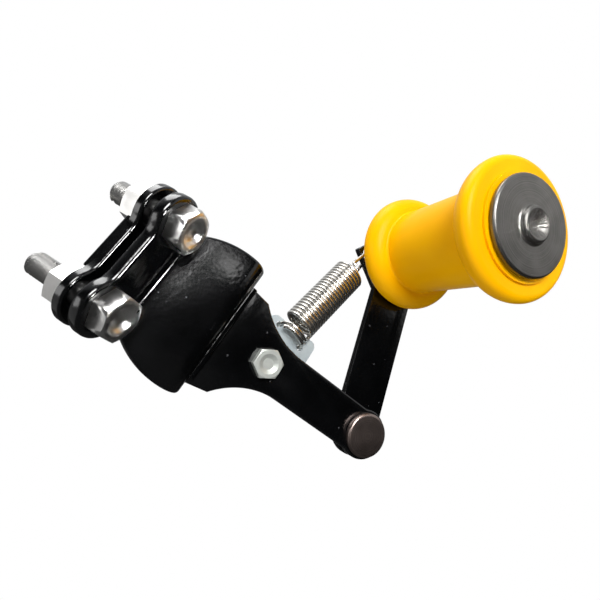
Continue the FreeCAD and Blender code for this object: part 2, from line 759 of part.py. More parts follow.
def roller():
    """Spool roller: two round-rimmed flanges, a plain barrel and a bearing seat at each end."""
    back_round = "(flange_width - flange_face_round)"
    shoulder = "(flange_radius - flange_face_round)"
    inner_shoulder = "(flange_radius - %s)" % back_round
    step = "(%s - barrel_radius)" % inner_shoulder
    seat = "(bearing_recess + bearing_width)"
    front = "(roller_length + hub_boss)"
    face_rim = ("flange_face_round", -1, False)
    back_rim = (back_round, -1, False)
    cove = (step, 1, False)
    body = turned("roller_spool", "Y", [
        ("0", "bearing_outer"),
        ("0", shoulder, face_rim),
        ("flange_face_round", "flange_radius", back_rim),
        ("flange_width", inner_shoulder, cove),
        ("flange_width + " + step, "barrel_radius"),
        ("roller_length - flange_width - " + step, "barrel_radius", cove),
        ("roller_length - flange_width", inner_shoulder, back_rim),
        ("roller_length - flange_face_round", "flange_radius", face_rim),
        ("roller_length", shoulder),
        ("roller_length", "hub_boss_radius"),
        (front, "hub_boss_radius"),
        (front, "bearing_outer"),
        (front + " - " + seat, "bearing_outer"),
        (front + " - " + seat, "roller_bore"),
        (seat, "roller_bore"),
        (seat, "bearing_outer")])
    place_roller(body)
    return node(body, "roller")


def bearing(name, near):
    """Ball bearing whose rear face lies a given way in front of the roller's rear face."""
    pitch = "((bearing_bore + bearing_outer) / 2)"
    groove = "(ball_radius + ball_play)"
    far = "(%s + bearing_width)" % near
    middle = "(%s + bearing_width / 2)" % near
    outer_wall = "(bearing_outer - ring_wall)"
    inner_wall = "(bearing_bore + ring_wall)"
    reach = "sqrt(%s ^ 2 - (%s - %s) ^ 2)" % (groove, outer_wall, pitch)
    outer = turned(name + "_outer_ring", "Y", [
        (near, "bearing_outer"), (far, "bearing_outer"), (far, outer_wall),
        ("%s + %s" % (middle, reach), outer_wall, (groove, 1, False)),
        ("%s - %s" % (middle, reach), outer_wall),
        (near, outer_wall)])
    inner = turned(name + "_inner_ring", "Y", [
        (near, "bearing_bore"), (near, inner_wall),
        ("%s - %s" % (middle, reach), inner_wall, (groove, 1, False)),
        ("%s + %s" % (middle, reach), inner_wall),
        (far, inner_wall), (far, "bearing_bore")])
    balls = []
    count = int(value("ball_count"))
    for index in range(count):
        ball = doc.addObject("Part::Sphere", name + "_ball")
        ball.setExpression("Radius", bound("ball_radius"))
        angle = "%d * 360 / ball_count" % index
        ball.setExpression("Placement.Base.x", bound("%s * cos(%s)" % (pitch, angle)))
        ball.setExpression("Placement.Base.y", bound("-" + middle))
        ball.setExpression("Placement.Base.z", bound("%s * sin(%s)" % (pitch, angle)))
        balls.append(ball)
    group = doc.addObject("Part::Compound", name + "_balls")
    group.Links = balls
    for piece in (outer, inner, group):
        place_roller(piece)
        node(piece, piece.Name)


def roller_fittings():
    """Bearings, the sleeves that space their inner rings, the axle and its nut."""
    front_face = "(roller_length + hub_boss - bearing_recess)"
    bearing("rear_bearing", "bearing_recess")
    bearing("front_bearing", "(%s - bearing_width)" % front_face)
    sleeve = ring("bearing_sleeve", "Y", "bearing_bore", "collar_radius",
                  "bearing_recess + bearing_width", "%s - bearing_width" % front_face)
    spacer = ring("axle_spacer", "Y", "bearing_bore", "collar_radius", "-roller_standoff", "bearing_recess")
    washer = ring("axle_washer_ring", "Y", "axle_thread_radius + bolt_clearance", "axle_washer_radius",
                  "-axle_washer", "0")
    nut = hex_nut("axle_nut_hex", "Y", "axle_hex", "axle_nut", "axle_thread_radius + thread_clearance")
    place_roller(sleeve)
    place_roller(spacer)
    place_roller(washer, "roller_standoff + link_sheet")
    place_roller(nut, "roller_standoff + link_sheet + axle_washer")
    node(sleeve, "bearing_sleeve")
    node(spacer, "axle_spacer")
    node(washer, "axle_washer")
    node(nut, "axle_nut")
    roller_axle(front_face)


def roller_axle(bearing_front):
    """Turned axle: a centred stub and a thin disc in front, a threaded tail behind the link."""
    disc_back = "(roller_length + hub_boss + disc_gap)"
    disc_front = "(%s + disc_sheet)" % disc_back
    nose = "(%s + stub_height)" % disc_front
    tail = "(roller_standoff + link_sheet + axle_washer + axle_nut + axle_tail)"
    axle = turned("roller_axle", "Y", [
        ("%s - centre_depth" % nose, "0"),
        (nose, "centre_radius"),
        (nose, "stub_radius - disc_chamfer"),
        ("%s - disc_chamfer" % nose, "stub_radius"),
        ("%s + stub_cove" % disc_front, "stub_radius", ("stub_cove", -1, False)),
        (disc_front, "stub_radius + stub_cove"),
        (disc_front, "disc_radius - disc_chamfer"),
        ("%s - disc_chamfer" % disc_front, "disc_radius"),
        (disc_back, "disc_radius"),
        (disc_back, "collar_radius"),
        (bearing_front, "collar_radius"),
        (bearing_front, "bearing_bore"),
        ("-roller_standoff", "bearing_bore"),
        ("-roller_standoff", "axle_thread_radius"),
        ("thread_chamfer - " + tail, "axle_thread_radius"),
        ("-" + tail, "axle_thread_radius - thread_chamfer"),
        ("-" + tail, "0")])
    place_roller(axle)
    return node(axle, "roller_axle")


def check_and_export():
    """Stop at a failed or invalid piece, then write one STEP file for each node."""
    doc.recompute()
    for item in doc.Objects:
        if {"Invalid", "Error"} & set(item.State):
            raise ValueError("%s did not build: %s" % (item.Label, item.State))
    os.makedirs("parts", exist_ok=True)
    for piece in NODES:
        if piece.Shape.isNull() or not piece.Shape.isValid() or not piece.Shape.Solids:
            raise ValueError(piece.Label + " has no valid solid")
    for piece in NODES:
        piece.Shape.exportStep("parts/%s.step" % piece.Label)
        print("%-28s %2d solid(s) %9.1f mm3" % (piece.Label, len(piece.Shape.Solids), piece.Shape.Volume))


clamp_bracket()
clamp_strap()
clamp_fasteners()
arm_plate()
weld_bead()
anchor_plate()
anchor_fasteners()
pivot_pieces()
link_arm()
tension_spring()
roller()
roller_fittings()
check_and_export()
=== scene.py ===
"""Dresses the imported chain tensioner: paint, plating, moulded plastic, spring wire, threads and studio."""
import json
import logging
import math
from dataclasses import dataclass
from enum import Enum

import bmesh
import bpy
from mathutils import Matrix, Vector

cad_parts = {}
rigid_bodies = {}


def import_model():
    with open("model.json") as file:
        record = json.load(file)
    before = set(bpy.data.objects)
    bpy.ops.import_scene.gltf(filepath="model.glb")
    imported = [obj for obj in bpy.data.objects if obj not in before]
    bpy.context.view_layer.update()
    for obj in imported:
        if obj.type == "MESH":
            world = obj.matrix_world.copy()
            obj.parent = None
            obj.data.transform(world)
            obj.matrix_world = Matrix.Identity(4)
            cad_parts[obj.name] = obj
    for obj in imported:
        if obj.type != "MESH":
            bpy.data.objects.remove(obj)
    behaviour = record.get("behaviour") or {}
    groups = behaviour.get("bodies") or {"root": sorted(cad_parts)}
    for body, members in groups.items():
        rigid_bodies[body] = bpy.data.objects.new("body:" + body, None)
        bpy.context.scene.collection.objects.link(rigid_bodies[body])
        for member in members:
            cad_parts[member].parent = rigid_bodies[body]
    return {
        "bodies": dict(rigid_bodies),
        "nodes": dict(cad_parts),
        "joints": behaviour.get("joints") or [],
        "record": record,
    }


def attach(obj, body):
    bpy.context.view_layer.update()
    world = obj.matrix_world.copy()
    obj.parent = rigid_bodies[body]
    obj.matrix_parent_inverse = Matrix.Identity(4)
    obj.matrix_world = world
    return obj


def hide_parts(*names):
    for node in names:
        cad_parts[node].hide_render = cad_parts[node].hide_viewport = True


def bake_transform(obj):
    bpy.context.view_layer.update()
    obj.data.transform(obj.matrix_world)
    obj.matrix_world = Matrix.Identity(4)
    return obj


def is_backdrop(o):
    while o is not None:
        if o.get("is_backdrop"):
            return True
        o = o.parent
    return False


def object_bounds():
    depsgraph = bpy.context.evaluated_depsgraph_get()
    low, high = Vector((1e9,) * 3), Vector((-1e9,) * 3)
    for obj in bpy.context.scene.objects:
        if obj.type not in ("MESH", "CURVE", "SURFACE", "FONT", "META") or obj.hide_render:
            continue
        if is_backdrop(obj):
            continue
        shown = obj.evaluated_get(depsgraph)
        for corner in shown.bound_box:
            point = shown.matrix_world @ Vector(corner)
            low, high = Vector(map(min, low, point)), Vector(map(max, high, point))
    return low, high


LOG = logging.getLogger("chain_tensioner")
MM = 0.001
JAW_TILT = math.radians(33.0)
ARM_ORIGIN = Vector((17.7443, 23.6694, 0.0))
ROLLER_SPOT = (38.754, 0.0, 60.151)
PIVOT_SPOT = (56.8, 0.0, 0.0)
MERGE_GAP = 2e-6
SMOOTH_BELOW = 35.0
PEEL_DEPTH = 0.0004
GRAIN_DEPTH = 0.0002
DUST_CELLS, DUST_RADIUS, DUST_RARITY = 400.0, 0.12, 0.82
MOTTLE_TONES, MOTTLE_GLOSS = (0.35, 0.75), (0.3, 0.7)
CLOUD_TONES, CLOUD_GLOSS = (0.3, 0.7), (0.3, 0.7)
RING_TONES, FLOW_TONES = (0.15, 0.4), (0.3, 0.75)
MIX_FACTOR, MIX_FIRST, MIX_SECOND, MIX_RESULT = 0, 6, 7, 2

Colour = tuple[float, float, float, float]
Triple = tuple[float, float, float]


@dataclass(frozen=True)
class Grain:
    """One noise of a skin: cells in a metre and octaves."""

    scale: float
    detail: float


PEEL, MOTTLE = Grain(800.0, 1.0), Grain(90.0, 3.0)
PLATE_CLOUD, PLATE_GRAIN = Grain(220.0, 3.0), Grain(2600.0, 2.0)
RINGS, TURNED_CLOUD = Grain(3200.0, 2.0), Grain(180.0, 3.0)
FLOW, TEXTURE = Grain(60.0, 2.0), Grain(1500.0, 2.0)


class Slot(Enum):
    """Material slots of the part's record."""

    PAINT = "black_paint"
    BOLTS = "zinc_bolts"
    PLATE = "zinc_plate"
    SPRING = "spring_steel"
    PLASTIC = "yellow_plastic"
    TURNED = "turned_steel"
    PIN = "pin_steel"
    BEARING = "bearing_steel"


class Carrier(Enum):
    """Bodies of the tensioner that made pieces ride on."""

    BRACKET = "bracket"
    LINK = "link"


def arm_matrix() -> Matrix:
    """Matrix from arm-frame millimetres to the row frame in metres."""
    turn = Matrix.Rotation(JAW_TILT, 4, "Z")
    return Matrix.Scale(MM, 4) @ Matrix.Translation(ARM_ORIGIN) @ turn


def arm_point(x: float, y: float, z: float) -> Vector:
    """Row-frame place, in metres, of a point given in arm-frame millimetres."""
    return arm_matrix() @ Vector((x, y, z))


class Bench:
    """Adds and links nodes in one node tree."""

    def __init__(self, tree: bpy.types.NodeTree) -> None:
        """Keep the tree that the nodes go into."""
        self.tree = tree

    def node(self, kind: str, **settings: object) -> bpy.types.Node:
        """Add a node.

        Args:
            kind: The node's type name.
            settings: Node properties to set.

        Returns:
            The new node.
        """
        made = self.tree.nodes.new(kind)
        for name, value in settings.items():
            setattr(made, name, value)
        return made

    def feed(self, target: bpy.types.NodeSocket, source: object) -> None:
        """Link a socket to the target, or set the target's own value."""
        if isinstance(source, bpy.types.NodeSocket):
            self.tree.links.new(source, target)
        else:
            target.default_value = source

    def maths(self, operation: str, first: object, second: object = 0.0) -> bpy.types.NodeSocket:
        """Number from an arithmetic node.

        Args:
            operation: Name of the operation.
            first: Number or socket.
            second: Number or socket.

        Returns:
            The node's output.
        """
        made = self.node("ShaderNodeMath", operation=operation)
        self.feed(made.inputs[0], first)
        self.feed(made.inputs[1], second)
        return made.outputs[0]

    def spread(self, source: object, low: float, high: float,
               start: float = 0.0, end: float = 1.0) -> bpy.types.NodeSocket:
        """Map a factor from start..end to low..high, held at both ends.

        Args:
            source: Factor or socket.
            low: Result at start.
            high: Result at end.
            start: Lower end of the factor.
            end: Upper end of the factor.

        Returns:
            The mapped number.
        """
        made = self.node("ShaderNodeMapRange")
        for slot, value in enumerate((source, start, end, low, high)):
            self.feed(made.inputs[slot], value)
        return made.outputs[0]

    def blend(self, factor: object, first: object, second: object) -> bpy.types.NodeSocket:
        """Colour between two colours.

        Args:
            factor: Number or socket.
            first: Colour or socket at 0.
            second: Colour or socket at 1.

        Returns:
            The mixed colour.
        """
        made = self.node("ShaderNodeMix", data_type="RGBA")
        for slot, value in ((MIX_FACTOR, factor), (MIX_FIRST, first), (MIX_SECOND, second)):
            self.feed(made.inputs[slot], value)
        return made.outputs[MIX_RESULT]

    def noise(self, vector: object, grain: Grain) -> bpy.types.NodeSocket:
        """Soft noise from a vector.

        Args:
            vector: Socket with the coordinates.
            grain: Scale and detail of the noise.

        Returns:
            The noise factor.
        """
        made = self.node("ShaderNodeTexNoise")
        self.feed(made.inputs["Vector"], vector)
        made.inputs["Scale"].default_value = grain.scale
        made.inputs["Detail"].default_value = grain.detail
        return made.outputs["Fac"]


class SkinLibrary:
    """Shader groups that several finishes share, each built once."""

    def __init__(self) -> None:
        """Start with no groups."""
        self.groups: dict[str, bpy.types.NodeTree] = {}

    def start(self, name: str,
              outputs: tuple[str, ...]) -> tuple[Bench, bpy.types.NodeSocket, bpy.types.Node]:
        """Begin a group with a Vector input and number outputs.

        Args:
            name: Name of the group.
            outputs: Names of its outputs.

        Returns:
            Bench, the vector socket and the output node.
        """
        tree = bpy.data.node_groups.new(name, "ShaderNodeTree")
        tree.interface.new_socket("Vector", in_out="INPUT", socket_type="NodeSocketVector")
        for output in outputs:
            tree.interface.new_socket(output, in_out="OUTPUT", socket_type="NodeSocketFloat")
        bench = Bench(tree)
        self.groups[name] = tree
        return bench, bench.node("NodeGroupInput").outputs[0], bench.node("NodeGroupOutput")

    def sprayed_skin(self) -> bpy.types.NodeTree:
        """Sprayed paint: orange peel, soft mottle and rare dust specks."""
        if "SprayedSkin" not in self.groups:
            bench, vector, out = self.start("SprayedSkin", ("Peel", "Mottle", "Specks"))
            cells = bench.node("ShaderNodeTexVoronoi")
            bench.feed(cells.inputs["Vector"], vector)
            cells.inputs["Scale"].default_value = DUST_CELLS
            near = bench.maths("LESS_THAN", cells.outputs["Distance"], DUST_RADIUS)
            split = bench.node("ShaderNodeSeparateColor")
            bench.feed(split.inputs[0], cells.outputs["Color"])
            rare = bench.maths("GREATER_THAN", split.outputs[0], DUST_RARITY)
            bench.feed(out.inputs[0], bench.noise(vector, PEEL))
            bench.feed(out.inputs[1], bench.noise(vector, MOTTLE))
            bench.feed(out.inputs[2], bench.maths("MULTIPLY", near, rare))
        return self.groups["SprayedSkin"]

    def plated_skin(self) -> bpy.types.NodeTree:
        """Plated or drawn steel: cloudy tone and a fine grain."""
        if "PlatedSkin" not in self.groups:
            bench, vector, out = self.start("PlatedSkin", ("Cloud", "Grain"))
            bench.feed(out.inputs[0], bench.noise(vector, PLATE_CLOUD))
            bench.feed(out.inputs[1], bench.noise(vector, PLATE_GRAIN))
        return self.groups["PlatedSkin"]

    def lathe_rings(self) -> bpy.types.NodeTree:
        """Turned face: rings about the local Y axis and a cloudy tone."""
        if "LatheRings" not in self.groups:
            bench, vector, out = self.start("LatheRings", ("Rings", "Cloud"))
            parts = bench.node("ShaderNodeSeparateXYZ")
            bench.feed(parts.inputs[0], vector)
            across = bench.maths("MULTIPLY", parts.outputs[0], parts.outputs[0])
            upward = bench.maths("MULTIPLY", parts.outputs[2], parts.outputs[2])
            radius = bench.maths("SQRT", bench.maths("ADD", across, upward))
            rings = bench.node("ShaderNodeTexNoise", noise_dimensions="1D")
            bench.feed(rings.inputs["W"], radius)
            rings.inputs["Scale"].default_value = RINGS.scale
            rings.inputs["Detail"].default_value = RINGS.detail
            bench.feed(out.inputs[0], rings.outputs["Fac"])
            bench.feed(out.inputs[1], bench.noise(vector, TURNED_CLOUD))
        return self.groups["LatheRings"]

    def moulded_skin(self) -> bpy.types.NodeTree:
        """Moulded plastic: slow flow marks and a faint fine texture."""
        if "MouldedSkin" not in self.groups:
            bench, vector, out = self.start("MouldedSkin", ("Flow", "Texture"))
            bench.feed(out.inputs[0], bench.noise(vector, FLOW))
            bench.feed(out.inputs[1], bench.noise(vector, TEXTURE))
        return self.groups["MouldedSkin"]


SKINS = SkinLibrary()


class FinishBench(Bench):
    """A material's tree with its shader, its coordinates and a bump."""

    def __init__(self, name: str) -> None:
        """Start a material with a plain shader."""
        self.material = bpy.data.materials.new(name)
        self.material.use_nodes = True
        super().__init__(self.material.node_tree)
        self.shader = self.tree.nodes["Principled BSDF"]
        self.place = self.node("ShaderNodeTexCoord").outputs["Object"]

    def socket(self, name: str) -> bpy.types.NodeSocket:
        """Input of the shader by name."""
        return self.shader.inputs[name]

    def skin(self, group: bpy.types.NodeTree, vector: object = None) -> bpy.types.Node:
        """Add a shared group, fed with object coordinates or another vector."""
        made = self.node("ShaderNodeGroup", node_tree=group)
        self.feed(made.inputs[0], self.place if vector is None else vector)
        return made

    def about(self, spot: Triple) -> bpy.types.NodeSocket:
        """Coordinates about a spot of the arm frame, with Y along the plates' normal.

        Args:
            spot: Arm-frame millimetres.

        Returns:
            The turned coordinates.
        """
        made = self.node("ShaderNodeMapping", vector_type="TEXTURE")
        self.feed(made.inputs["Vector"], self.place)
        made.inputs["Location"].default_value = arm_point(*spot)
        made.inputs["Rotation"].default_value = (0.0, 0.0, JAW_TILT)
        return made.outputs[0]

    def bump(self, height: object, strength: float, depth: float) -> None:
        """Drive the shader's normal from a height.

        Args:
            height: Socket with the height.
            strength: Share of the full effect.
            depth: Height of the relief in metres.
        """
        made = self.node("ShaderNodeBump")
        made.inputs["Strength"].default_value = strength
        made.inputs["Distance"].default_value = depth
        self.feed(made.inputs["Height"], height)
        self.feed(self.socket("Normal"), made.outputs[0])


@dataclass(frozen=True)
class SprayedPaint:
    """Glossy sprayed paint with orange peel, mottle and dust specks."""

    name: str
    colour: Colour
    thin: Colour
    speck: Colour
    gloss: float
    haze: float
    peel: float
    shine: float

    def material(self) -> bpy.types.Material:
        """Build the paint."""
        bench = FinishBench(self.name)
        skin = bench.skin(SKINS.sprayed_skin())
        mottle = skin.outputs["Mottle"]
        ground = bench.blend(bench.spread(mottle, 0.0, 1.0, *MOTTLE_TONES), self.colour, self.thin)
        bench.feed(bench.socket("Base Color"), bench.blend(skin.outputs["Specks"], ground, self.speck))
        bench.feed(bench.socket("Roughness"), bench.spread(mottle, self.gloss, self.haze, *MOTTLE_GLOSS))
        bench.socket("Specular IOR Level").default_value = self.shine
        bench.bump(skin.outputs["Peel"], self.peel, PEEL_DEPTH)
        return bench.material


@dataclass(frozen=True)
class PlatedSteel:
    """Bright plated or drawn steel with a cloudy tone."""

    name: str
    colour: Colour
    dull: Colour
    gloss: float
    haze: float
    grain: float
    metal: float = 1.0

    def material(self) -> bpy.types.Material:
        """Build the plating."""
        bench = FinishBench(self.name)
        skin = bench.skin(SKINS.plated_skin())
        cloud = bench.spread(skin.outputs["Cloud"], 0.0, 1.0, *CLOUD_TONES)
        bench.feed(bench.socket("Base Color"), bench.blend(cloud, self.colour, self.dull))
        bench.feed(bench.socket("Roughness"), bench.spread(cloud, self.gloss, self.haze))
        bench.socket("Metallic").default_value = self.metal
        bench.bump(skin.outputs["Grain"], self.grain, GRAIN_DEPTH)
        return bench.material


@dataclass(frozen=True)
class TurnedSteel:
    """Steel with the rings of the lathe about one axis."""

    name: str
    spot: Triple
    colour: Colour
    dull: Colour
    gloss: float
    haze: float
    cut: float

    def material(self) -> bpy.types.Material:
        """Build the turned steel."""
        bench = FinishBench(self.name)
        skin = bench.skin(SKINS.lathe_rings(), bench.about(self.spot))
        cloud = skin.outputs["Cloud"]
        shade = bench.spread(bench.maths("MULTIPLY", skin.outputs["Rings"], cloud), 0.0, 1.0, *RING_TONES)
        bench.feed(bench.socket("Base Color"), bench.blend(shade, self.colour, self.dull))
        bench.feed(bench.socket("Roughness"), bench.spread(cloud, self.gloss, self.haze, *CLOUD_GLOSS))
        bench.socket("Metallic").default_value = 1.0
        bench.bump(skin.outputs["Rings"], self.cut, GRAIN_DEPTH)
        return bench.material


@dataclass(frozen=True)
class MouldedPlastic:
    """Glossy moulded plastic with slow colour changes."""

    name: str
    colour: Colour
    deep: Colour
    gloss: float
    haze: float
    texture: float
    shine: float

    def material(self) -> bpy.types.Material:
        """Build the plastic."""
        bench = FinishBench(self.name)
        skin = bench.skin(SKINS.moulded_skin())
        flow = bench.spread(skin.outputs["Flow"], 0.0, 1.0, *FLOW_TONES)
        bench.feed(bench.socket("Base Color"), bench.blend(flow, self.colour, self.deep))
        bench.feed(bench.socket("Roughness"), bench.spread(flow, self.gloss, self.haze))
        bench.socket("Specular IOR Level").default_value = self.shine
        bench.bump(skin.outputs["Texture"], self.texture, GRAIN_DEPTH)
        return bench.material


FINISHES = {
    Slot.PAINT: SprayedPaint(
        "sprayed black paint", (0.0008, 0.0009, 0.0011, 1.0), (0.002, 0.0022, 0.0026, 1.0),
        (0.06, 0.062, 0.066, 1.0), gloss=0.14, haze=0.19, peel=0.085, shine=0.9),
    Slot.BOLTS: PlatedSteel(
        "bright zinc on bolts", (0.92, 0.91, 0.89, 1.0), (0.76, 0.75, 0.73, 1.0),
        gloss=0.26, haze=0.38, grain=0.04),
    Slot.PLATE: PlatedSteel(
        "pale zinc on plate", (0.66, 0.73, 0.75, 1.0), (0.5, 0.57, 0.6, 1.0),
        gloss=0.4, haze=0.52, grain=0.12, metal=0.4),
    Slot.SPRING: PlatedSteel(
        "nickel on spring wire", (0.8, 0.78, 0.74, 1.0), (0.7, 0.67, 0.62, 1.0),
        gloss=0.22, haze=0.28, grain=0.0),
    Slot.PLASTIC: MouldedPlastic(
        "yellow moulded plastic", (0.97, 0.49, 0.0, 1.0), (0.92, 0.42, 0.0, 1.0),
        gloss=0.28, haze=0.38, texture=0.03, shine=0.08),
    Slot.TURNED: TurnedSteel(
        "turned axle steel", ROLLER_SPOT, (0.28, 0.27, 0.255, 1.0), (0.18, 0.175, 0.165, 1.0),
        gloss=0.32, haze=0.44, cut=0.1),
    Slot.PIN: TurnedSteel(
        "turned pin steel", PIVOT_SPOT, (0.42, 0.34, 0.31, 1.0), (0.28, 0.22, 0.2, 1.0),
        gloss=0.3, haze=0.42, cut=0.05),
    Slot.BEARING: PlatedSteel(
        "ground bearing steel", (0.62, 0.62, 0.63, 1.0), (0.5, 0.5, 0.51, 1.0),
        gloss=0.12, haze=0.2, grain=0.04),
}


NODE_FINISHES = {
    "anchor_bolt": PlatedSteel(
        "satin zinc on anchor bolt", (0.7, 0.73, 0.68, 1.0), (0.52, 0.54, 0.51, 1.0),
        gloss=0.4, haze=0.55, grain=0.3, metal=0.55),
}


class Paintshop:
    """Makes each finish once and puts it on meshes."""

    def __init__(self) -> None:
        """Build every finish."""
        self.materials = {slot: finish.material() for slot, finish in FINISHES.items()}
        self.special = {node: finish.material() for node, finish in NODE_FINISHES.items()}

    def dress_nodes(self, frame: dict) -> None:
        """Put the finish of its slot on every solid of the frame."""
        for entry in frame["record"]["subparts"]:
            solid = frame["nodes"][entry["node"]]
            solid.data.materials.clear()
            usual = self.materials[Slot(entry["material_slot"])]
            solid.data.materials.append(self.special.get(entry["node"], usual))

    def dress(self, piece: bpy.types.Object, slot: Slot) -> None:
        """Put one finish on a made piece."""
        piece.data.materials.clear()
        piece.data.materials.append(self.materials[slot])


class GrowthTree(Bench):
    """A geometry tree with named inputs that ends in real mesh with a material."""

    def __init__(self, name: str, sizes: dict[str, str]) -> None:
        """Make the tree and its inputs.

        Args:
            name: Name of the tree.
            sizes: Input names and their socket types.
        """
        super().__init__(bpy.data.node_groups.new(name, "GeometryNodeTree"))
        face = self.tree.interface
        inputs = {"Geometry": "NodeSocketGeometry", **sizes, "Material": "NodeSocketMaterial"}
        self.keys = {label: face.new_socket(label, in_out="INPUT", socket_type=kind).identifier
                     for label, kind in inputs.items()}
        face.new_socket("Geometry", in_out="OUTPUT", socket_type="NodeSocketGeometry")
        self.given = self.node("NodeGroupInput").outputs

    def close(self, geometry: bpy.types.NodeSocket) -> None:
        """End the tree: smooth, realize, give the material, put out."""
        smooth = self.node("GeometryNodeSetShadeSmooth")
        real = self.node("GeometryNodeRealizeInstances")
        dressed = self.node("GeometryNodeSetMaterial")
        out = self.node("NodeGroupOutput")
        self.feed(smooth.inputs[0], geometry)
        self.feed(real.inputs[0], smooth.outputs[0])
        self.feed(dressed.inputs[0], real.outputs[0])
        self.feed(dressed.inputs["Material"], self.given["Material"])
        self.feed(out.inputs[0], dressed.outputs[0])

    def sweep(self, curve: bpy.types.NodeSocket, radius: bpy.types.NodeSocket,
              sides: int) -> bpy.types.NodeSocket:
        """Sweep a round or diamond section along a curve.

        Args:
            curve: Curve to follow.
            radius: Radius of the section.
            sides: Corners of the section.

        Returns:
            The swept mesh.
        """
        section = self.node("GeometryNodeCurvePrimitiveCircle", mode="RADIUS")
        section.inputs["Resolution"].default_value = sides
        self.feed(section.inputs["Radius"], radius)
        made = self.node("GeometryNodeCurveToMesh")
        self.feed(made.inputs["Curve"], curve)
        self.feed(made.inputs["Profile Curve"], section.outputs["Curve"])
        made.inputs["Fill Caps"].default_value = True
        return made.outputs[0]

    def grow(self, name: str, base: bpy.types.Mesh, values: dict[str, object],
             place: Matrix) -> bpy.types.Mesh:
        """Run the tree once and keep the result as a plain mesh.

        Args:
            name: Name of the mesh.
            base: Mesh that goes into the tree.
            values: Input values by name.
            place: Matrix from the tree's space to the row frame.

        Returns:
            The finished mesh.
        """
        worker = bpy.data.objects.new(name + "_worker", base)
        bpy.context.scene.collection.objects.link(worker)
        modifier = worker.modifiers.new("growth", "NODES")
        modifier.node_group = self.tree
        for label, value in values.items():
            modifier[self.keys[label]] = value
        graph = bpy.context.evaluated_depsgraph_get()
        mesh = bpy.data.meshes.new_from_object(worker.evaluated_get(graph))
        worker.modifiers.remove(modifier)
        bpy.data.objects.remove(worker)
        mesh.name = name
        mesh.transform(place)
        return mesh


class SpiralTree(GrowthTree):
    """Wire wound in a spiral, joined by the wire runs that come in as edges."""

    SIDES = 14

    def __init__(self) -> None:
        """Build the tree."""
        number, whole = "NodeSocketFloat", "NodeSocketInt"
        super().__init__("WoundWire", {
            "Turns": number, "Pitch": number, "Coil radius": number, "Start": number,
            "Wire radius": number, "Steps": whole})
        spiral = self.node("GeometryNodeCurveSpiral")
        turns, radius = self.given["Turns"], self.given["Coil radius"]
        height = self.maths("MULTIPLY", turns, self.given["Pitch"])
        for label, source in (("Rotations", turns), ("Start Radius", radius), ("End Radius", radius),
                              ("Height", height), ("Resolution", self.given["Steps"])):
            self.feed(spiral.inputs[label], source)
        lift = self.node("ShaderNodeCombineXYZ")
        self.feed(lift.inputs[2], self.given["Start"])
        raised = self.node("GeometryNodeTransform")
        self.feed(raised.inputs["Geometry"], spiral.outputs[0])
        self.feed(raised.inputs["Translation"], lift.outputs[0])
        runs = self.node("GeometryNodeMeshToCurve")
        self.feed(runs.inputs[0], self.given["Geometry"])
        joined = self.node("GeometryNodeJoinGeometry")
        self.feed(joined.inputs[0], raised.outputs[0])
        self.feed(joined.inputs[0], runs.outputs[0])
        self.close(self.sweep(joined.outputs[0], self.given["Wire radius"], self.SIDES))


class ThreadTree(GrowthTree):
    """A thread's ridge wound about Z."""

    STEPS = 36
    CORNERS = 4

    def __init__(self) -> None:
        """Build the tree."""
        labels = ("Root radius", "Ridge", "Pitch", "Length")
        super().__init__("ThreadRidge", dict.fromkeys(labels, "NodeSocketFloat"))
        spiral = self.node("GeometryNodeCurveSpiral")
        spiral.inputs["Resolution"].default_value = self.STEPS
        length, radius = self.given["Length"], self.given["Root radius"]
        turns = self.maths("DIVIDE", length, self.given["Pitch"])
        for label, source in (("Rotations", turns), ("Start Radius", radius),
                              ("End Radius", radius), ("Height", length)):
            self.feed(spiral.inputs[label], source)
        upright = self.node("GeometryNodeSetCurveNormal", mode="Z_UP")
        self.feed(upright.inputs[0], spiral.outputs[0])
        self.close(self.sweep(upright.outputs[0], self.given["Ridge"], self.CORNERS))


class WeldTree(GrowthTree):
    """A bead of weld metal along Z whose skin rises and falls in soft ripples."""

    STEPS = 180
    SIDES = 20
    MIDDLE = 0.5

    def __init__(self) -> None:
        """Build the tree."""
        labels = ("Length", "Bead radius", "Ripple", "Rate")
        super().__init__("WeldRipples", dict.fromkeys(labels, "NodeSocketFloat"))
        half = self.maths("MULTIPLY", self.given["Length"], 0.5)
        line = self.node("GeometryNodeCurvePrimitiveLine")
        for label, sign in (("Start", -1.0), ("End", 1.0)):
            spot = self.node("ShaderNodeCombineXYZ")
            self.feed(spot.inputs[2], self.maths("MULTIPLY", half, sign))
            self.feed(line.inputs[label], spot.outputs[0])
        steps = self.node("GeometryNodeResampleCurve")
        self.feed(steps.inputs["Curve"], line.outputs[0])
        steps.inputs["Count"].default_value = self.STEPS
        bead = self.sweep(steps.outputs[0], self.given["Bead radius"], self.SIDES)
        parts = self.node("ShaderNodeSeparateXYZ")
        self.feed(parts.inputs[0], self.node("GeometryNodeInputPosition").outputs[0])
        waves = self.node("ShaderNodeTexNoise", noise_dimensions="1D")
        self.feed(waves.inputs["W"], parts.outputs[2])
        self.feed(waves.inputs["Scale"], self.given["Rate"])
        waves.inputs["Detail"].default_value = 0.0
        wave = self.maths("SUBTRACT", waves.outputs["Fac"], self.MIDDLE)
        lift = self.maths("MULTIPLY", wave, self.given["Ripple"])
        push = self.node("ShaderNodeVectorMath", operation="SCALE")
        self.feed(push.inputs[0], self.node("GeometryNodeInputNormal").outputs[0])
        self.feed(push.inputs["Scale"], lift)
        moved = self.node("GeometryNodeSetPosition")
        self.feed(moved.inputs["Geometry"], bead)
        self.feed(moved.inputs["Offset"], push.outputs[0])
        self.close(moved.outputs[0])


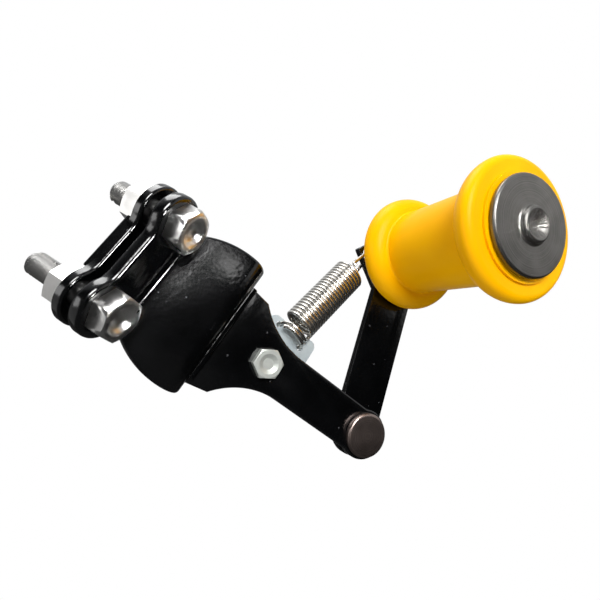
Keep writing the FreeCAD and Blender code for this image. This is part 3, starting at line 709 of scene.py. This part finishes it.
def new_piece(name: str, mesh: bpy.types.Mesh) -> bpy.types.Object:
    """Object at the origin that shows a finished mesh."""
    piece = bpy.data.objects.new(name, mesh)
    bpy.context.scene.collection.objects.link(piece)
    LOG.info("%s: %d faces", name, len(mesh.polygons))
    return piece


def path_mesh(runs: list[list[Vector]]) -> bpy.types.Mesh:
    """Mesh of edges along each run of points."""
    mesh = bpy.data.meshes.new("wire_runs")
    spots: list[Vector] = []
    edges: list[tuple[int, int]] = []
    for run in runs:
        first = len(spots)
        spots += run
        edges += [(first + step, first + step + 1) for step in range(len(run) - 1)]
    mesh.from_pydata(spots, edges, [])
    return mesh


def smooth_run(corners: list[Vector], steps: int) -> list[Vector]:
    """Points on a Catmull-Rom curve through every corner.

    Args:
        corners: Places that the curve passes.
        steps: Points between two corners.

    Returns:
        The points, both ends included.
    """
    padded = [corners[0] * 2 - corners[1]] + corners + [corners[-1] * 2 - corners[-2]]
    run = []
    for index in range(1, len(padded) - 2):
        before, start, end, after = padded[index - 1:index + 3]
        for step in range(steps):
            t = step / steps
            bend = 2 * before - 5 * start + 4 * end - after
            twist = 3 * start - before - 3 * end + after
            run.append(0.5 * (2 * start + (end - before) * t + bend * t ** 2 + twist * t ** 3))
    return run + [corners[-1]]


def plain_copy(solid: bpy.types.Object) -> bmesh.types.BMesh:
    """Merged copy of a solid's mesh, to be changed without touching the solid."""
    work = bmesh.new()
    work.from_mesh(solid.data)
    bmesh.ops.remove_doubles(work, verts=work.verts, dist=MERGE_GAP)
    return work


def mesh_from(work: bmesh.types.BMesh, name: str) -> bpy.types.Mesh:
    """Finish a working mesh: outward normals, smooth faces and sharp edges.

    Args:
        work: Working mesh, freed here.
        name: Name of the result.

    Returns:
        The finished mesh.
    """
    bmesh.ops.recalc_face_normals(work, faces=work.faces)
    mesh = bpy.data.meshes.new(name)
    work.to_mesh(mesh)
    work.free()
    mesh.shade_smooth()
    mesh.set_sharp_from_angle(angle=math.radians(SMOOTH_BELOW))
    return mesh


@dataclass(frozen=True)
class EdgeRound:
    """Round on the outer edges of one solid."""

    node: str
    carrier: Carrier
    slot: Slot
    radius: float


@dataclass
class EdgeWork:
    """Solids whose outer edges are broken by a small round, as paint and tumbling leave them."""

    crease: float = 40.0
    flatness: float = 0.5
    segments: int = 3
    profile: float = 0.5
    weld_share: float = 0.15
    rounds: tuple[EdgeRound, ...] = (
        EdgeRound("clamp_bracket", Carrier.BRACKET, Slot.PAINT, 0.9),
        EdgeRound("arm_plate", Carrier.BRACKET, Slot.PAINT, 0.5),
        EdgeRound("link_arm", Carrier.LINK, Slot.PAINT, 0.5),
        EdgeRound("pivot_pin", Carrier.BRACKET, Slot.PIN, 0.4),
        EdgeRound("roller_axle", Carrier.LINK, Slot.TURNED, 0.2),
    )

    def rounded(self, solid: bpy.types.Object, radius: float) -> bmesh.types.BMesh:
        """Copy of a solid with a round on its outer edges.

        Args:
            solid: The solid to copy.
            radius: Size of the round in millimetres.

        Returns:
            The working mesh.
        """
        work = plain_copy(solid)
        bmesh.ops.remove_doubles(work, verts=work.verts, dist=self.weld_share * radius * MM)
        bmesh.ops.dissolve_limit(work, angle_limit=math.radians(self.flatness),
                                 verts=work.verts, edges=work.edges)
        sharp = [edge for edge in work.edges if len(edge.link_faces) == 2 and edge.is_convex
                 and edge.calc_face_angle(0.0) > math.radians(self.crease)]
        bmesh.ops.bevel(work, geom=sharp, offset=radius * MM, segments=self.segments,
                        profile=self.profile, affect="EDGES", clamp_overlap=False)
        return work

    def build(self, frame: dict, shop: Paintshop) -> None:
        """Round every solid of the list."""
        for entry in self.rounds:
            work = self.rounded(frame["nodes"][entry.node], entry.radius)
            piece = new_piece(entry.node + "_rounded", mesh_from(work, entry.node + "_rounded"))
            shop.dress(piece, entry.slot)
            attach(piece, entry.carrier.value)
            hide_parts(entry.node)


@dataclass
class WeldBead:
    """Rippled fillet weld between the lip and the arm plate."""

    length: float = 29.4
    bead_radius: float = 1.3
    ripple: float = 0.12
    rate: float = 0.45
    inset: float = 0.45

    def build(self, shop: Paintshop) -> None:
        """Lay the ripples along the corner."""
        tree = WeldTree()
        place = arm_matrix() @ Matrix.Translation((self.inset, -self.inset, 0.0))
        mesh = tree.grow("weld_ripples", bpy.data.meshes.new("weld_seed"), {
            "Length": self.length, "Bead radius": self.bead_radius, "Ripple": self.ripple,
            "Rate": self.rate, "Material": shop.materials[Slot.PAINT]}, place)
        piece = new_piece("weld_ripples", mesh)
        shop.dress(piece, Slot.PAINT)
        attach(piece, Carrier.BRACKET.value)
        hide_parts("weld_bead")


@dataclass
class TensionSpring:
    """Close-wound spring: end turns in the anchor plate, coils, and a twisted hook in the link's tab."""

    wire_radius: float = 0.6
    coil_radius: float = 4.85
    coil_start: float = 5.0
    turns: int = 21
    pitch: float = 1.24
    hook_radius: float = 2.9
    hook_twist: float = 54.5
    hook_bearing: float = 0.5
    leg_shares: tuple[float, float] = (0.3, 0.6)
    foot: tuple[tuple[float, float], ...] = (
        (0, 5.0), (12, 4.6), (26, 3.2), (40, 2.2), (58, 2.0), (75, 2.0), (90, 2.0), (105, 2.0),
        (122, 1.95), (140, 1.7), (155, 1.2), (168, 0.6), (180, 0.1), (200, 0.0), (225, 0.0),
        (250, 0.0), (270, 0.0), (290, 0.0), (315, 0.0), (340, 0.0), (360, 0.1), (375, 0.35),
        (390, 0.6), (405, 0.72), (420, 0.76), (440, 0.76), (460, 0.76), (478, 0.7), (492, 0.4),
        (503, 0.0))
    lead: tuple[tuple[float, float], ...] = ((0, 0.0), (18, 0.05), (34, 0.3), (47, 0.9))
    tail: tuple[tuple[float, float], ...] = ((4, 1.0), (16, 0.75))
    foot_steps: int = 3
    hook_steps: int = 6
    bight_steps: int = 12
    coil_steps: int = 44
    low_seat: Triple = (18.6, 4.0, 11.0)
    high_seat: Triple = (27.26, 6.25, 51.483)
    follow_share: float = 0.85

    def around(self, degrees: float, height: float) -> Vector:
        """Point on the coil's cylinder."""
        angle = math.radians(degrees)
        return Vector((self.coil_radius * math.cos(angle), self.coil_radius * math.sin(angle), height))

    def end_turns(self) -> list[Vector]:
        """Wire below the coils: a step down, then twice across the plate's front and once behind it."""
        corners = [self.around(-degrees, height) for degrees, height in self.foot]
        return smooth_run(corners, self.foot_steps)

    def hook(self, span: float) -> list[Vector]:
        """Wire above the coils: up one leg, round the bight and down the other leg."""
        top = self.coil_start + self.turns * self.pitch
        centre = span - self.hook_bearing - self.hook_radius
        rise = centre - top
        slant = math.hypot(self.coil_radius, rise)
        tilt = math.acos(self.hook_radius / slant) - math.atan2(rise, self.coil_radius)
        bight = []
        for step in range(self.bight_steps + 1):
            angle = tilt + (math.pi - 2 * tilt) * step / self.bight_steps
            across, upward = self.hook_radius * math.cos(angle), self.hook_radius * math.sin(angle)
            bight.append(Vector((across, 0.0, centre + upward)))
        foot = Vector((self.coil_radius, 0.0, top))
        legs = [foot.lerp(bight[0], share) for share in self.leg_shares]
        mirrored = [Vector((-spot.x, 0.0, spot.z)) for spot in reversed(legs)]
        turned = Matrix.Rotation(math.radians(self.hook_twist), 4, "Z")
        upper = [turned @ spot for spot in legs + bight + mirrored]
        lead = [self.around(angle, top + lift) for angle, lift in self.lead]
        tail = [self.around(self.hook_twist + 180 + angle, top + lift) for angle, lift in self.tail]
        return smooth_run(lead + upper + tail, self.hook_steps)

    def build(self, shop: Paintshop) -> None:
        """Wind the wire between both of its seats."""
        low, high = Vector(self.low_seat), Vector(self.high_seat)
        reach = high - low
        turn = Vector((0.0, 0.0, 1.0)).rotation_difference(reach).to_matrix().to_4x4()
        place = arm_matrix() @ Matrix.Translation(low) @ turn
        runs = path_mesh([self.end_turns(), self.hook(reach.length)])
        mesh = SpiralTree().grow("spring_wire", runs, {
            "Turns": float(self.turns), "Pitch": self.pitch, "Coil radius": self.coil_radius,
            "Start": self.coil_start, "Wire radius": self.wire_radius, "Steps": self.coil_steps,
            "Material": shop.materials[Slot.SPRING]}, place)
        piece = new_piece("spring_wire", mesh)
        shop.dress(piece, Slot.SPRING)
        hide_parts("tension_spring")
        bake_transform(piece)


@dataclass
class ThreadedFasteners:
    """Clamp bolts with real threads."""

    root_radius: float = 2.5
    ridge: float = 0.5
    pitch: float = 1.0
    spacing: float = 25.0
    thread_start: float = -0.8
    neck: float = 0.3
    neck_cut: float = 0.2
    tips: tuple[tuple[str, float], ...] = (("upper", -16.0), ("lower", -19.4))

    def slimmed(self, solid: bpy.types.Object, height: float) -> bmesh.types.BMesh:
        """Copy of a bolt whose shank is turned down to the thread's root.

        Args:
            solid: The bolt's solid.
            height: Height of its axis in millimetres.

        Returns:
            The working mesh.
        """
        work = plain_copy(solid)
        for along in (self.thread_start, self.thread_start - self.neck):
            bmesh.ops.bisect_plane(work, geom=work.verts[:] + work.edges[:] + work.faces[:],
                                   plane_co=(along * MM, 0.0, 0.0), plane_no=(1.0, 0.0, 0.0))
        for vert in work.verts:
            across = Vector((0.0, vert.co.y, vert.co.z - height * MM))
            past_neck = vert.co.x < (self.thread_start - self.neck_cut) * MM
            if past_neck and across.length > self.root_radius * MM:
                vert.co -= across * (1.0 - self.root_radius * MM / across.length)
        return work

    def build(self, frame: dict, shop: Paintshop) -> None:
        """Cut threads on both clamp bolts."""
        tree = ThreadTree()
        turn = Matrix.Rotation(math.radians(90.0), 4, "Y")
        for side, tip in self.tips:
            node = "clamp_bolt_" + side
            height = self.spacing / 2 if side == "upper" else -self.spacing / 2
            place = Matrix.Scale(MM, 4) @ Matrix.Translation((tip, 0.0, height)) @ turn
            ridge = tree.grow(node + "_ridge", bpy.data.meshes.new("thread_seed"), {
                "Root radius": self.root_radius, "Ridge": self.ridge, "Pitch": self.pitch,
                "Length": self.thread_start - tip, "Material": shop.materials[Slot.BOLTS]}, place)
            work = self.slimmed(frame["nodes"][node], height)
            work.from_mesh(ridge)
            bpy.data.meshes.remove(ridge)
            piece = new_piece(node + "_threaded", mesh_from(work, node + "_threaded"))
            shop.dress(piece, Slot.BOLTS)
            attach(piece, Carrier.BRACKET.value)
            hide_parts(node)


@dataclass(frozen=True)
class Softbox:
    """Square studio lamp, placed in the picture's right, up and near directions from its aim."""

    name: str
    way: Triple
    size: float
    power: float
    distance: float = 0.6
    aim: Triple = (0.040, 0.028, 0.025)
    spread: float = 180.0


@dataclass
class Studio:
    """Camera, lamps, white surroundings and floor."""

    lens: float = 23.1866
    sensor: float = 36.0
    nearest: float = 0.004
    place: Triple = (0.0584139, -0.0760056, -0.0122515)
    right: Triple = (0.841792, 0.060723, 0.536376)
    up: Triple = (-0.478585, -0.375661, 0.793622)
    near: Triple = (0.249687, -0.924766, -0.287167)
    floor_drop: float = 0.6
    floor_size: float = 3.0
    floor_tint: Colour = (0.92, 0.92, 0.92, 1.0)
    floor_roughness: float = 0.9
    floor_gleam: float = 0.05
    room_tint: Colour = (0.96, 0.98, 1.0, 1.0)
    room_bright: float = 0.75
    room_dark: float = 0.008
    room_rise: tuple[float, float] = (0.15, 0.9)
    boxes: tuple[Softbox, ...] = (
        Softbox("left lamp", (-0.81, 0.22, 0.54), 0.22, 0.3),
        Softbox("left fill", (-0.92, -0.1, 0.38), 0.7, 0.35),
        Softbox("right fill", (0.94, 0.3, 0.16), 0.45, 0.3),
        Softbox("top lamp", (-0.15, 0.97, -0.1), 0.35, 2.0),
        Softbox("key lamp", (0.187, 0.547, 0.817), 0.28, 4.2),
        Softbox("sheen lamp", (0.6, 0.38, 0.7), 0.07, 0.05),
        Softbox("cone lamp", (0.245, 0.07, 0.967), 0.02, 0.001,
                distance=0.25, aim=(0.0762, 0.0083, 0.0625), spread=4.0),
        Softbox("fold lamp", (0.86, -0.3, 0.4), 0.026, 0.0018,
                distance=0.08, aim=(0.001, 0.0005, -0.0007), spread=12.0),
    )

    def camera(self) -> None:
        """Camera at the picture's viewpoint."""
        data = bpy.data.cameras.new("viewpoint")
        data.lens = self.lens
        data.sensor_width = self.sensor
        data.sensor_fit = "HORIZONTAL"
        data.clip_start = self.nearest
        camera = bpy.data.objects.new("viewpoint", data)
        axes = Matrix((self.right, self.up, self.near)).transposed().to_4x4()
        camera.matrix_world = Matrix.Translation(self.place) @ axes
        bpy.context.scene.collection.objects.link(camera)
        bpy.context.scene.camera = camera

    def lamps(self) -> None:
        """Softboxes, most of which look at the middle of the part."""
        right, up, near = Vector(self.right), Vector(self.up), Vector(self.near)
        for box in self.boxes:
            side = (right * box.way[0] + up * box.way[1] + near * box.way[2]).normalized()
            data = bpy.data.lights.new(box.name, "AREA")
            data.shape = "SQUARE"
            data.size = box.size
            data.energy = box.power
            data.spread = math.radians(box.spread)
            lamp = bpy.data.objects.new(box.name, data)
            lamp.location = Vector(box.aim) + side * box.distance
            lamp.rotation_euler = side.to_track_quat("Z", "Y").to_euler()
            bpy.context.scene.collection.objects.link(lamp)

    def surroundings(self) -> None:
        """White to the camera, soft grey light from above and behind, and a dim room elsewhere."""
        world = bpy.data.worlds.new("white room")
        world.use_nodes = True
        bpy.context.scene.world = world
        bench = Bench(world.node_tree)
        bench.tree.nodes.clear()
        way = bench.node("ShaderNodeTexCoord").outputs["Generated"]
        facing = bench.node("ShaderNodeVectorMath", operation="DOT_PRODUCT")
        bench.feed(facing.inputs[0], way)
        facing.inputs[1].default_value = (Vector(self.up) - Vector(self.near)).normalized()
        dim = bench.spread(facing.outputs["Value"], self.room_dark, self.room_bright, *self.room_rise)
        rays = bench.node("ShaderNodeLightPath")
        room = bench.node("ShaderNodeBackground")
        room.inputs[0].default_value = self.room_tint
        bench.feed(room.inputs[1], dim)
        white = bench.node("ShaderNodeBackground")
        white.inputs[0].default_value = (1.0, 1.0, 1.0, 1.0)
        mixed = bench.node("ShaderNodeMixShader")
        bench.feed(mixed.inputs[0], rays.outputs["Is Camera Ray"])
        bench.feed(mixed.inputs[1], room.outputs[0])
        bench.feed(mixed.inputs[2], white.outputs[0])
        out = bench.node("ShaderNodeOutputWorld")
        bench.feed(out.inputs[0], mixed.outputs[0])

    def floor(self, lowest: float) -> None:
        """Plain pale floor well below the part."""
        work = bmesh.new()
        bmesh.ops.create_grid(work, x_segments=1, y_segments=1, size=self.floor_size)
        mesh = bpy.data.meshes.new("floor")
        work.to_mesh(mesh)
        work.free()
        floor = new_piece("floor", mesh)
        floor.location = (0.0, 0.0, lowest - self.floor_drop)
        bench = FinishBench("pale floor")
        bench.socket("Base Color").default_value = self.floor_tint
        bench.socket("Roughness").default_value = self.floor_roughness
        rays = bench.node("ShaderNodeLightPath")
        shown = bench.shader.outputs[0]
        for ray, strength in (("Is Glossy Ray", self.floor_gleam), ("Is Camera Ray", 1.0)):
            glow = bench.node("ShaderNodeEmission")
            glow.inputs["Strength"].default_value = strength
            mixed = bench.node("ShaderNodeMixShader")
            bench.feed(mixed.inputs[0], rays.outputs[ray])
            bench.feed(mixed.inputs[1], shown)
            bench.feed(mixed.inputs[2], glow.outputs[0])
            shown = mixed.outputs[0]
        bench.feed(bench.tree.nodes["Material Output"].inputs[0], shown)
        mesh.materials.append(bench.material)
        floor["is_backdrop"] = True

    def build(self, lowest: float) -> None:
        """Set up everything round the part."""
        bpy.context.scene.view_settings.view_transform = "Standard"
        self.camera()
        self.lamps()
        self.surroundings()
        self.floor(lowest)


def main() -> None:
    """Load the frame, build each group of pieces and light them."""
    logging.basicConfig(level=logging.INFO, format="%(name)s %(message)s")
    for leftover in list(bpy.data.objects):
        bpy.data.objects.remove(leftover)
    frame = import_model()
    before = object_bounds()
    shop = Paintshop()
    shop.dress_nodes(frame)
    Studio().build(before[0][2])
    EdgeWork().build(frame, shop)
    WeldBead().build(shop)
    ThreadedFasteners().build(frame, shop)
    TensionSpring().build(shop)


if __name__ == "__main__":
    main()
